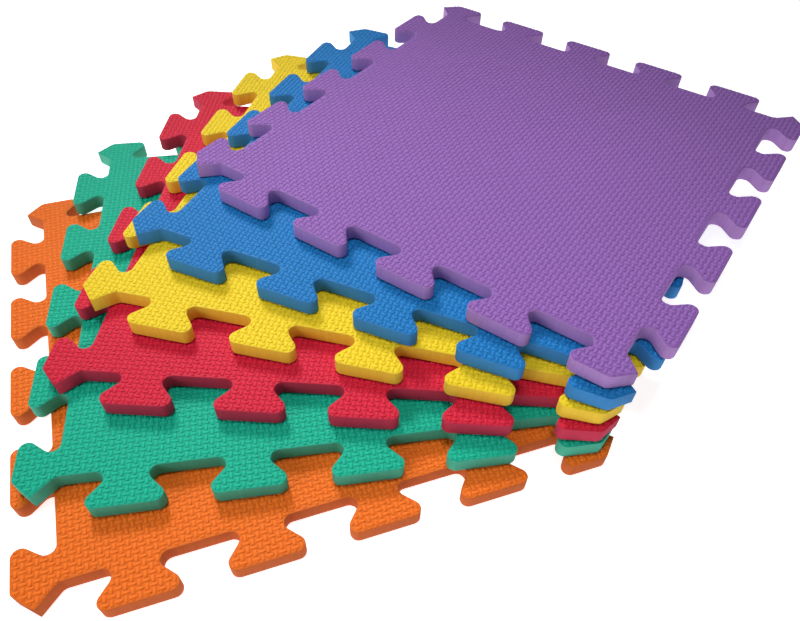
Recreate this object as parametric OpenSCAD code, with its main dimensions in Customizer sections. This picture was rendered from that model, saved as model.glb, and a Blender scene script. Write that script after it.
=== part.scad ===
// Six interlocking foam floor tiles, stacked and fanned out about one shared corner.
// Millimetres, +Z up. The bottom tile lies square to X and Y with the origin at the
// centre of its underside, and each tile above it is turned a little further clockwise.

/* [Tile] */

// distance from one corner point of a tile to the next, without the tabs
tile_side = 300; // [240:10:420]
// foam thickness
tile_thick = 10; // [8:0.5:14]
// tabs along each side, one of them at the corner
tabs_per_side = 5; // [3:1:6]

/* [Interlocking edge] */

// how far a tab stands out of the tile's edge line, and how far a gap cuts in
tab_reach = 10.5; // [9:0.5:13]
// how much further than its quarter pitch the head of a tab spreads, on each side
tab_flare = 3.75; // [2:0.25:5]
// radius of the round tab heads and of the gap bottoms that take them
corner_r = 4.5; // [2:0.25:5]

/* [Fan] */

// air left between two tiles by their raised weave
tile_gap = 0.2; // [0.1:0.05:1]
// turn of the green tile from the bottom tile, in degrees
green_turn = 10; // [0:0.1:14]
// turn of the red tile from the bottom tile, in degrees
red_turn = 22.4; // [0:0.1:28]
// turn of the yellow tile from the bottom tile, in degrees
yellow_turn = 32.4; // [0:0.1:42]
// turn of the blue tile from the bottom tile, in degrees
blue_turn = 41.9; // [0:0.1:56]
// turn of the purple tile from the bottom tile, in degrees
purple_turn = 53.7; // [0:0.1:70]

/* [Hidden] */

// straight pieces in each round tab corner
arc_steps = 8;
// length of one tab with one gap
pitch = tile_side / tabs_per_side;
// height from one tile's underside to the next
layer = tile_thick + tile_gap;

// The flank between a gap and a tab is one straight line that touches two equal arcs.
// It crosses the edge line at flank_turn, and the tab arc's centre is at (mid_x, mid_y)
// from that crossing. The gap arc is the same arc turned half a turn about the crossing.
mid_x = corner_r - tab_flare;
mid_y = tab_reach - corner_r;
flank_turn = atan2(mid_y, mid_x) + asin(corner_r / norm([mid_x, mid_y]));

function arc(cx, cy, from, to, steps) = [
    for (i = [0:steps]) let (q = from + (to - from) * i / steps)
        [cx + corner_r * cos(q), cy + corner_r * sin(q)]
];

// flank at distance s along a side that rises from a gap to a tab head
function rise(s) = concat(
    arc(s - mid_x, -mid_y, 270, flank_turn + 270, arc_steps),
    arc(s + mid_x, mid_y, flank_turn + 90, 90, arc_steps)
);

// flank at distance s that falls back from a tab head to the next gap
function fall(s) = let (up = rise(0)) [
    for (i = [len(up) - 1:-1:0]) [s - up[i][0], up[i][1]]
];

// 45 degree cut from the corner point down into the first gap, and its partner on the
// corner tab, which is the same cut turned half a turn about the middle of the side
corner_cut = arc(tab_reach + corner_r * tan(22.5), -mid_y, 225, 270, 3);
corner_head = [
    for (i = [len(corner_cut) - 1:-1:0]) [tile_side - corner_cut[i][0], -corner_cut[i][1]]
];

// one side as [distance along it, height out of the edge line]
side_points = concat(
    [[0, 0]],
    corner_cut,
    [
        for (tab = [0:tabs_per_side - 1])
            for (p = concat(
                rise((tab + 0.5) * pitch),
                tab < tabs_per_side - 1 ? fall((tab + 1) * pitch) : []
            )) p
    ],
    corner_head
);

// the whole outline: the same side four times, each turned a quarter turn
outline = [
    for (quarter = [0:3])
        for (p = side_points)
            let (x = p[0] - tile_side / 2, y = -tile_side / 2 - p[1])
                [x * cos(90 * quarter) - y * sin(90 * quarter),
                 x * sin(90 * quarter) + y * cos(90 * quarter)]
];

// One tile in its place: its near right corner point lies slip away from the fan's
// shared corner, and the tile is turned clockwise about that corner.
module laid_tile(level, turn, slip) {
    translate([tile_side / 2 + slip[0], -tile_side / 2 + slip[1], level * layer])
        rotate([0, 0, -turn])
            translate([-tile_side / 2, tile_side / 2, 0])
                linear_extrude(height = tile_thick)
                    polygon(outline);
}

// bottom tile, which rests on the floor
module tile_orange() {
    color([0.90, 0.42, 0.15]) laid_tile(0, 0, [0, 0]);
}

module tile_green() {
    color([0.15, 0.68, 0.54]) laid_tile(1, green_turn, [-2, 1.5]);
}

module tile_red() {
    color([0.84, 0.16, 0.29]) laid_tile(2, red_turn, [-3, -0.5]);
}

module tile_yellow() {
    color([0.93, 0.80, 0.20]) laid_tile(3, yellow_turn, [-2.5, 1]);
}

module tile_blue() {
    color([0.20, 0.48, 0.75]) laid_tile(4, blue_turn, [-0.5, -0.5]);
}

// top tile
module tile_purple() {
    color([0.58, 0.40, 0.70]) laid_tile(5, purple_turn, [-1, 3]);
}

tile_orange();
tile_green();
tile_red();
tile_yellow();
tile_blue();
tile_purple();
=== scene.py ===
import math

import bmesh
import bpy
import numpy as np
from mathutils import Matrix, Vector


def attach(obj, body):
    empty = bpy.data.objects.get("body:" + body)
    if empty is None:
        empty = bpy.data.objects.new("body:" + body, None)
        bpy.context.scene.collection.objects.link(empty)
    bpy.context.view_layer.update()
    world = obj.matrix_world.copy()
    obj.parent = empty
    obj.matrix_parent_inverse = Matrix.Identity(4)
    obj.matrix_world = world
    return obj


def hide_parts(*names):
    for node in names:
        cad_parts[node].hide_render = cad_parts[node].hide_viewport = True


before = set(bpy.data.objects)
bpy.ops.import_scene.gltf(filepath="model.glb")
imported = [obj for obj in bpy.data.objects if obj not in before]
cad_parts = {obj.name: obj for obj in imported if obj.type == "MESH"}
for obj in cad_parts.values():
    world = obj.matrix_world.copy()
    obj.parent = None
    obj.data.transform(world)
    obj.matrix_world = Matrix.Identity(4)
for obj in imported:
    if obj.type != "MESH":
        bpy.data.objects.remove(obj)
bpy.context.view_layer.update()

# ---------------------------------------------------------------- sizes (metres)
# The outline and the fan, as in part.scad.
TILE_SIDE = 0.300
TILE_THICK = 0.010
TABS = 5
TAB_REACH = 0.0105
TAB_FLARE = 0.00375
CORNER_R = 0.0045
LAYER = 0.0102
PITCH = TILE_SIDE / TABS
ARC_STEPS = 8
CUT_STEPS = 3

# The weave moulded into the upper skin: short raised threads, one in each cell of a
# checkerboard, along X in one colour of the board and along Y in the other.
CELL = TILE_SIDE / 95
SPARE_CELLS = 8  # cells past the edge line, for the tabs
RELIEF = 0.00048
THREAD_LONG = 0.00370
THREAD_WIDE = 0.00190
SKIN_Z = TILE_THICK - RELIEF
# what a thread keeps from the tile's outline, at its middle line and at its flank
LINE_CLEAR = 0.0007
FLANK_CLEAR = 0.0001
# points tested along a thread, and how many in a row must lie on the foam
THREAD_POINTS = 9
LEAST_POINTS = 2
# a thread's foot, shoulder and crest: length, width, height over the skin, "raised" value
THREAD_RINGS = [
    (1.0, 1.0, -0.00004, 0.0),
    (0.94, 0.78, RELIEF * 0.68, 0.7),
    (0.80, 0.40, RELIEF, 1.0),
]
# the most that wear lowers a thread, and how far it may lie off its cell's centre
WEAR = 0.12
NUDGE = 0.00008

# soft edges that the cutting die leaves, and the flat ring just inside them
FOOT_ROUND = 0.0011
FOOT_ANGLES = (0, 30, 60, 90)
TOP_ROUND = 0.0004
TOP_ANGLES = (0, 22.5, 45, 67.5, 90)
FLAT_RING = 0.0004
# bands of the edge, counted from the underside, that are bare cut foam
CUT_BANDS = range(2, 7)
# material slots
SKIN, CUT = 0, 1

# points measured against the outline at a time
BATCH = 2000

# colour: skin, cut wall (linear RGB; the cut wall colour holds painted light and shade besides the
# cut foam's own colour, lighter than the skin on most tiles and darker on orange), turn clockwise,
# slip of the shared corner
TILES = [
    ("orange", (0.780, 0.155, 0.010), (0.515, 0.110, 0.026), 0.0, (0.0, 0.0)),
    ("green", (0.003, 0.392, 0.252), (0.068, 0.405, 0.275), 10.0, (-0.002, 0.0015)),
    ("red", (0.578, 0.010, 0.040), (0.510, 0.036, 0.080), 22.4, (-0.003, -0.0005)),
    ("yellow", (0.728, 0.532, 0.0125), (0.815, 0.550, 0.050), 32.4, (-0.0025, 0.001)),
    ("blue", (0.008, 0.171, 0.457), (0.045, 0.225, 0.530), 41.9, (-0.0005, -0.0005)),
    ("purple", (0.256, 0.115, 0.395), (0.390, 0.220, 0.525), 53.7, (-0.001, 0.003)),
]
# the skin's painted shade between the threads: how far its colour is darkened there, least on the
# pale yellow foam
HOLLOW_SHADE = {"orange": 0.87, "green": 0.87, "red": 0.87, "yellow": 0.97, "blue": 0.87, "purple": 0.87}

# floor, backdrop and light
FLOOR_HALF = 20.0
FLOOR_DROP = 0.0002
FLOOR_GREY = 0.85
FLOOR_GLOW = 0.76
BACKDROP_RADIUS = 18.0
BACKDROP_GLOW = 0.80
SKY_STRENGTH = 0.24

# camera
CAMERA_PLACE = (-0.03734, -0.30181, 0.30604)
CAMERA_FORWARD = (0.22324, 0.56844, -0.79186)
CAMERA_UP = (0.24837, 0.75238, 0.61012)
SENSOR_MM = 36.0
LENS_MM = 29.606
SHIFT_Y = 0.1119


# ---------------------------------------------------------------- outline
def arc(cx, cy, start, end, steps):
    q = np.radians(np.linspace(start, end, steps + 1))
    return np.stack([cx + CORNER_R * np.cos(q), cy + CORNER_R * np.sin(q)], 1)


# The flank between a gap and a tab touches two equal arcs, whose centres lie at
# (MID_X, MID_Y) on either side of the point where the flank crosses the edge line.
MID_X = CORNER_R - TAB_FLARE
MID_Y = TAB_REACH - CORNER_R
FLANK = math.degrees(
    math.atan2(MID_Y, MID_X) + math.asin(CORNER_R / math.hypot(MID_X, MID_Y))
)


def rise(s):
    """The flank at distance s along a side, from a gap up to a tab head."""
    return np.concatenate([
        arc(s - MID_X, -MID_Y, 270, FLANK + 270, ARC_STEPS),
        arc(s + MID_X, MID_Y, FLANK + 90, 90, ARC_STEPS),
    ])


def fall(s):
    """The flank at distance s that falls from a tab head to the next gap."""
    up = rise(0)[::-1]
    return np.stack([s - up[:, 0], up[:, 1]], 1)


def tile_outline():
    """The tile's outline about its centre, counter-clockwise from above."""
    cut_x = TAB_REACH + CORNER_R * math.tan(math.radians(22.5))
    cut = arc(cut_x, -MID_Y, 225, 270, CUT_STEPS)
    head = np.stack([TILE_SIDE - cut[::-1, 0], -cut[::-1, 1]], 1)
    side = [np.zeros((1, 2)), cut]
    for tab in range(TABS):
        side.append(rise((tab + 0.5) * PITCH))
        if tab < TABS - 1:
            side.append(fall((tab + 1) * PITCH))
    side = np.concatenate(side + [head])
    x, y = side[:, 0] - TILE_SIDE / 2, -TILE_SIDE / 2 - side[:, 1]
    turns = [(x, y), (-y, x), (-x, -y), (y, -x)]
    return np.concatenate([np.stack(t, 1) for t in turns])


def inset(points, depth):
    """The outline moved into the foam by depth, with mitred corners."""
    d = np.roll(points, -1, 0) - points
    d /= np.linalg.norm(d, axis=1)[:, None]
    n = np.stack([-d[:, 1], d[:, 0]], 1)  # into the foam
    m = n + np.roll(n, 1, 0)
    m /= (1 + (n * np.roll(n, 1, 0)).sum(1))[:, None]
    return points + m * depth


def depth_inside(points, outline):
    """Distance from each point to the outline, negative outside it."""
    a, b = outline, np.roll(outline, -1, 0)
    ab = b - a
    rise_y = np.where(ab[:, 1] == 0, 1, ab[:, 1])
    out = np.empty(len(points))
    for start in range(0, len(points), BATCH):
        p = points[start:start + BATCH, None, :]
        t = ((p - a) * ab).sum(2) / (ab * ab).sum(1)
        near = a + np.clip(t, 0, 1)[..., None] * ab
        dist = np.sqrt(((p - near) ** 2).sum(2)).min(1)
        px, py = p[..., 0], p[..., 1]
        cross = (a[:, 1] > py) != (b[:, 1] > py)
        hit = cross & (px < a[:, 0] + ab[:, 0] * (py - a[:, 1]) / rise_y)
        out[start:start + BATCH] = np.where(hit.sum(1) % 2 == 1, dist, -dist)
    return out


OUTLINE = tile_outline()


# ---------------------------------------------------------------- one tile's mesh
def shell():
    """Vertices, faces and face materials of the foam board with its rounded edges.

    Rings run from the underside round the edge to the upper skin."""
    rings = [(inset(OUTLINE, FOOT_ROUND + FLAT_RING), 0.0)]
    for angle in FOOT_ANGLES:
        q = math.radians(angle)
        rings.append((
            inset(OUTLINE, FOOT_ROUND * (1 - math.sin(q))),
            FOOT_ROUND * (1 - math.cos(q)),
        ))
    for angle in TOP_ANGLES:
        q = math.radians(angle)
        rings.append((
            inset(OUTLINE, TOP_ROUND * (1 - math.cos(q))),
            SKIN_Z - TOP_ROUND * (1 - math.sin(q)),
        ))
    rings.append((inset(OUTLINE, TOP_ROUND + FLAT_RING), SKIN_Z))
    n = len(OUTLINE)
    verts = np.concatenate([np.column_stack([r, np.full(n, z)]) for r, z in rings])
    faces, mats = [], []
    last = len(rings) - 1
    for k in range(last):
        for i in range(n):
            j = (i + 1) % n
            faces.append((k * n + i, k * n + j, (k + 1) * n + j, (k + 1) * n + i))
            mats.append(CUT if k in CUT_BANDS else SKIN)
    faces.append(tuple(range(n - 1, -1, -1)))
    faces.append(tuple(range(last * n, last * n + n)))
    mats += [SKIN, SKIN]
    return verts, faces, mats


def longest_run(flags):
    """First and last index of the longest run of true flags, or None."""
    best, run = (0, 0), 0
    for i, ok in enumerate(flags):
        run = run + 1 if ok else 0
        if run > best[0]:
            best = (run, i)
    length, end = best
    return (end - length + 1, end) if length >= LEAST_POINTS else None


def threads():
    """Centre, direction, half length and half width of every raised thread."""
    cells = int(round(TILE_SIDE / CELL)) + SPARE_CELLS
    ix, iy = np.meshgrid(np.arange(cells), np.arange(cells), indexing="ij")
    ix, iy = ix.ravel(), iy.ravel()
    centre = (np.stack([ix, iy], 1) - (cells - 1) / 2) * CELL
    along_x = (ix + iy) % 2 == 0
    way = np.where(along_x[:, None], [1.0, 0.0], [0.0, 1.0])
    steps = np.linspace(-1, 1, THREAD_POINTS)
    spots = centre[:, None] + way[:, None] * (steps[:, None] * THREAD_LONG / 2)
    depth = depth_inside(spots.reshape(-1, 2), OUTLINE).reshape(len(centre), -1)
    out = []
    for c, w, d in zip(centre, way, depth):
        run = longest_run(d > LINE_CLEAR)
        if run is None:
            continue
        first, last = run
        lo, hi = steps[first], steps[last]
        half = (hi - lo) * THREAD_LONG / 4
        wide = min(THREAD_WIDE / 2, d[first:last + 1].min() - FLANK_CLEAR)
        out.append((c + w * (lo + hi) * THREAD_LONG / 4, w, half, wide))
    return out


THREADS = threads()


def tile_mesh(name, seed):
    """One tile about its centre, with its threads lowered by wear and placed a little unevenly."""
    rng = np.random.default_rng(seed)
    verts, faces, mats = shell()
    at = len(verts)
    verts = [verts]
    raised = [np.zeros(at)]
    for c, w, half, wide in THREADS:
        side = np.array([-w[1], w[0]])
        low = 1 - WEAR * rng.random()
        nudge = (rng.random(2) - 0.5) * 2 * NUDGE
        for a, b, height, value in THREAD_RINGS:
            # the crest keeps half of what wear takes from the shoulder
            relief_scale = (1 + low) / 2 if height == RELIEF else low
            ring = [c + nudge + w * half * a * s + side * wide * b * t
                    for s, t in ((-1, -1), (1, -1), (1, 1), (-1, 1))]
            verts.append(np.column_stack([np.array(ring), np.full(4, SKIN_Z + height * relief_scale)]))
            raised.append(np.full(4, value))
        for lower in (at, at + 4):
            for i in range(4):
                j = (i + 1) % 4
                faces.append((lower + i, lower + j, lower + 4 + j, lower + 4 + i))
        faces.append((at + 8, at + 9, at + 10, at + 11))
        at += 12
    mats += [SKIN] * (len(faces) - len(mats))
    mesh = bpy.data.meshes.new(name)
    mesh.from_pydata(np.concatenate(verts), [], faces)
    mesh.polygons.foreach_set("material_index", mats)
    mesh.polygons.foreach_set("use_smooth", [True] * len(faces))
    height = mesh.attributes.new("raised", "FLOAT", "POINT")
    height.data.foreach_set("value", np.concatenate(raised))
    mesh.update()
    return mesh


# ---------------------------------------------------------------- materials
def nodes_of(name):
    m = bpy.data.materials.new(name)
    m.use_nodes = True
    t = m.node_tree
    return m, t, t.nodes["Principled BSDF"]


def add(tree, kind, **values):
    """A new node, with its inputs or, where it has no such input, its properties set."""
    n = tree.nodes.new(kind)
    for key, value in values.items():
        if key in n.inputs:
            n.inputs[key].default_value = value
        else:
            setattr(n, key, value)
    return n


def shade(colour, factor):
    """The colour made lighter or darker."""
    return tuple(min(1.0, c * factor) for c in colour) + (1.0,)


def grey(value):
    return (value, value, value, 1)


def mix(tree, dark, light, factor):
    """Two colours mixed by a node's output."""
    n = add(tree, "ShaderNodeMix", data_type="RGBA")
    n.inputs["A"].default_value = dark
    n.inputs["B"].default_value = light
    tree.links.new(factor, n.inputs["Factor"])
    return n


def roughness(tree, shader, low, high, factor):
    """Roughness that runs from low to high with a node's output."""
    n = add(tree, "ShaderNodeMapRange")
    n.inputs["To Min"].default_value = low
    n.inputs["To Max"].default_value = high
    tree.links.new(factor, n.inputs["Value"])
    tree.links.new(n.outputs["Result"], shader.inputs["Roughness"])


def bump(tree, shader, strength, distance, height):
    n = add(tree, "ShaderNodeBump", Strength=strength, Distance=distance)
    tree.links.new(height, n.inputs["Height"])
    tree.links.new(n.outputs["Normal"], shader.inputs["Normal"])


def skin_material(name, colour, hollow_shade):
    """Moulded skin: a soft satin foam, with painted shade between the threads and a painted
    highlight on the thread tops.
    """
    m, t, p = nodes_of(name)
    where = add(t, "ShaderNodeTexCoord")
    cloud = add(t, "ShaderNodeTexNoise", Scale=9.0, Detail=3.0, Roughness=0.6)
    grain = add(t, "ShaderNodeTexNoise", Scale=1500.0, Detail=2.0, Roughness=0.6)
    for n in (cloud, grain):
        t.links.new(where.outputs["Object"], n.inputs["Vector"])
    tone = mix(t, shade(colour, 0.93), shade(colour, 1.06), cloud.outputs["Fac"])
    # painted shade and highlight: the colour is darkened between the threads and lightened on
    # their crests, following the thread height kept in the raised attribute
    up = add(t, "ShaderNodeAttribute", attribute_name="raised")
    shade_ramp = add(t, "ShaderNodeValToRGB")
    shade_ramp.color_ramp.elements[0].color = grey(hollow_shade)
    shade_ramp.color_ramp.elements[1].color = grey(1.05)
    t.links.new(up.outputs["Fac"], shade_ramp.inputs["Fac"])
    relief_scale = add(t, "ShaderNodeMix", data_type="RGBA", blend_type="MULTIPLY")
    relief_scale.inputs["Factor"].default_value = 1.0
    t.links.new(tone.outputs["Result"], relief_scale.inputs["A"])
    t.links.new(shade_ramp.outputs["Color"], relief_scale.inputs["B"])
    t.links.new(relief_scale.outputs["Result"], p.inputs["Base Color"])
    roughness(t, p, 0.48, 0.64, grain.outputs["Fac"])
    bump(t, p, 0.35, 0.00012, grain.outputs["Fac"])
    p.inputs["IOR"].default_value = 1.45
    p.inputs["Specular IOR Level"].default_value = 0.20
    return m


def cut_material(name, colour):
    """Die-cut wall: open foam cells with faint upright marks of the blade."""
    m, t, p = nodes_of(name)
    where = add(t, "ShaderNodeTexCoord")
    tall = add(t, "ShaderNodeMapping")
    tall.inputs["Scale"].default_value = (700.0, 700.0, 45.0)
    t.links.new(where.outputs["Object"], tall.inputs["Vector"])
    marks = add(t, "ShaderNodeTexNoise", Scale=1.0, Detail=2.0, Roughness=0.5)
    t.links.new(tall.outputs["Vector"], marks.inputs["Vector"])
    cells = add(t, "ShaderNodeTexVoronoi", Scale=2200.0)
    t.links.new(where.outputs["Object"], cells.inputs["Vector"])
    tone = mix(t, shade(colour, 0.88), shade(colour, 1.10), marks.outputs["Fac"])
    t.links.new(tone.outputs["Result"], p.inputs["Base Color"])
    roughness(t, p, 0.78, 0.92, cells.outputs["Distance"])
    both = add(t, "ShaderNodeMath", operation="MULTIPLY_ADD")
    both.inputs[1].default_value = 0.5
    t.links.new(cells.outputs["Distance"], both.inputs[0])
    t.links.new(marks.outputs["Fac"], both.inputs[2])
    bump(t, p, 0.45, 0.00018, both.outputs["Value"])
    p.inputs["IOR"].default_value = 1.40
    p.inputs["Specular IOR Level"].default_value = 0.20
    return m


# ---------------------------------------------------------------- the six tiles
for level, (colour, skin, wall, turn, slip) in enumerate(TILES):
    name = f"foam_tile_{colour}"
    mesh = tile_mesh(name, level + 1)
    corner = Vector((TILE_SIDE / 2, -TILE_SIDE / 2, 0))
    mesh.transform(
        Matrix.Translation(corner + Vector((slip[0], slip[1], level * LAYER)))
        @ Matrix.Rotation(math.radians(-turn), 4, "Z")
        @ Matrix.Translation(-corner)
    )
    mesh.materials.append(skin_material(f"{colour}_foam_skin", skin, HOLLOW_SHADE[colour]))
    # the cut wall colour carries painted light and shade, set to give the walls their brightness
    # under these lamps
    mesh.materials.append(cut_material(f"{colour}_foam_cut", wall))
    tile = bpy.data.objects.new(name, mesh)
    bpy.context.scene.collection.objects.link(tile)
    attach(tile, f"{colour}_tile")
    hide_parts(f"tile_{colour}")

# ---------------------------------------------------------------- floor and backdrop
scene = bpy.context.scene
scene.view_settings.view_transform = "Standard"


def stage_object(name, mesh, base, glow):
    """A glowing object of the studio, with its base grey and the strength of its glow."""
    m, _, p = nodes_of(name)
    p.inputs["Base Color"].default_value = grey(base)
    p.inputs["Emission Color"].default_value = grey(1)
    p.inputs["Emission Strength"].default_value = glow
    mesh.materials.append(m)
    obj = bpy.data.objects.new(name, mesh)
    scene.collection.objects.link(obj)
    return obj, p


# the floor glows like a light table, which keeps its shadows faint
floor_mesh = bpy.data.meshes.new("floor")
floor_mesh.from_pydata(
    [(x * FLOOR_HALF, y * FLOOR_HALF, 0) for x, y in ((-1, -1), (1, -1), (1, 1), (-1, 1))],
    [], [(0, 1, 2, 3)],
)
floor, floor_p = stage_object("floor", floor_mesh, FLOOR_GREY, FLOOR_GLOW)
floor_p.inputs["Roughness"].default_value = 0.9
floor.location.z = -FLOOR_DROP

# a pale backdrop that lights nothing, so that low views have no dark sky
backdrop_mesh = bpy.data.meshes.new("backdrop")
bowl = bmesh.new()
bmesh.ops.create_uvsphere(bowl, u_segments=64, v_segments=32, radius=BACKDROP_RADIUS)
bowl.to_mesh(backdrop_mesh)
bowl.free()
backdrop, backdrop_p = stage_object("backdrop", backdrop_mesh, 0, BACKDROP_GLOW)
backdrop_p.inputs["Specular IOR Level"].default_value = 0.0
backdrop.visible_diffuse = backdrop.visible_glossy = backdrop.visible_shadow = False

# ---------------------------------------------------------------- light
world = bpy.data.worlds.new("studio")
world.use_nodes = True
world.node_tree.nodes["Background"].inputs["Color"].default_value = grey(1)
world.node_tree.nodes["Background"].inputs["Strength"].default_value = SKY_STRENGTH
scene.world = world


def lamp(kind, name, place, target, watts, **settings):
    data = bpy.data.lights.new(name, kind)
    data.energy = watts
    for key, value in settings.items():
        setattr(data, key, value)
    obj = bpy.data.objects.new(name, data)
    obj.location = place
    aim = Vector(target) - Vector(place)
    obj.rotation_euler = aim.to_track_quat("-Z", "Y").to_euler()
    scene.collection.objects.link(obj)


# a soft-edged spot behind the pile throws the shadows towards the viewer, one overhead
# lights the tops and leaves the far corners darker, and a panel at the left lights the walls
lamp("SPOT", "back_spot", (-0.06, 1.25, 1.30), (0.02, -0.02, 0.03), 106.0,
     spot_size=math.radians(35), spot_blend=1.0, shadow_soft_size=0.28)
lamp("SPOT", "top_spot", (0.04, -0.04, 1.60), (0.04, -0.04, 0.03), 44.0,
     spot_size=math.radians(32), spot_blend=1.0, shadow_soft_size=0.20)
lamp("AREA", "reflector", (-1.45, -0.55, 0.85), (0.05, 0.0, 0.03), 10.0,
     shape="DISK", size=1.0)

# ---------------------------------------------------------------- camera
# it stands at the near left of the fan and looks down across it
forward = Vector(CAMERA_FORWARD)
right = forward.cross(Vector(CAMERA_UP)).normalized()
up = right.cross(forward).normalized()
view = Matrix((right, up, -forward)).transposed().to_4x4()
view.translation = CAMERA_PLACE
camera_data = bpy.data.cameras.new("camera")
camera_data.sensor_width = SENSOR_MM
camera_data.lens = LENS_MM
camera_data.shift_y = SHIFT_Y
camera_data.clip_start = 0.01
camera = bpy.data.objects.new("camera", camera_data)
camera.matrix_world = view
scene.collection.objects.link(camera)
scene.camera = camera
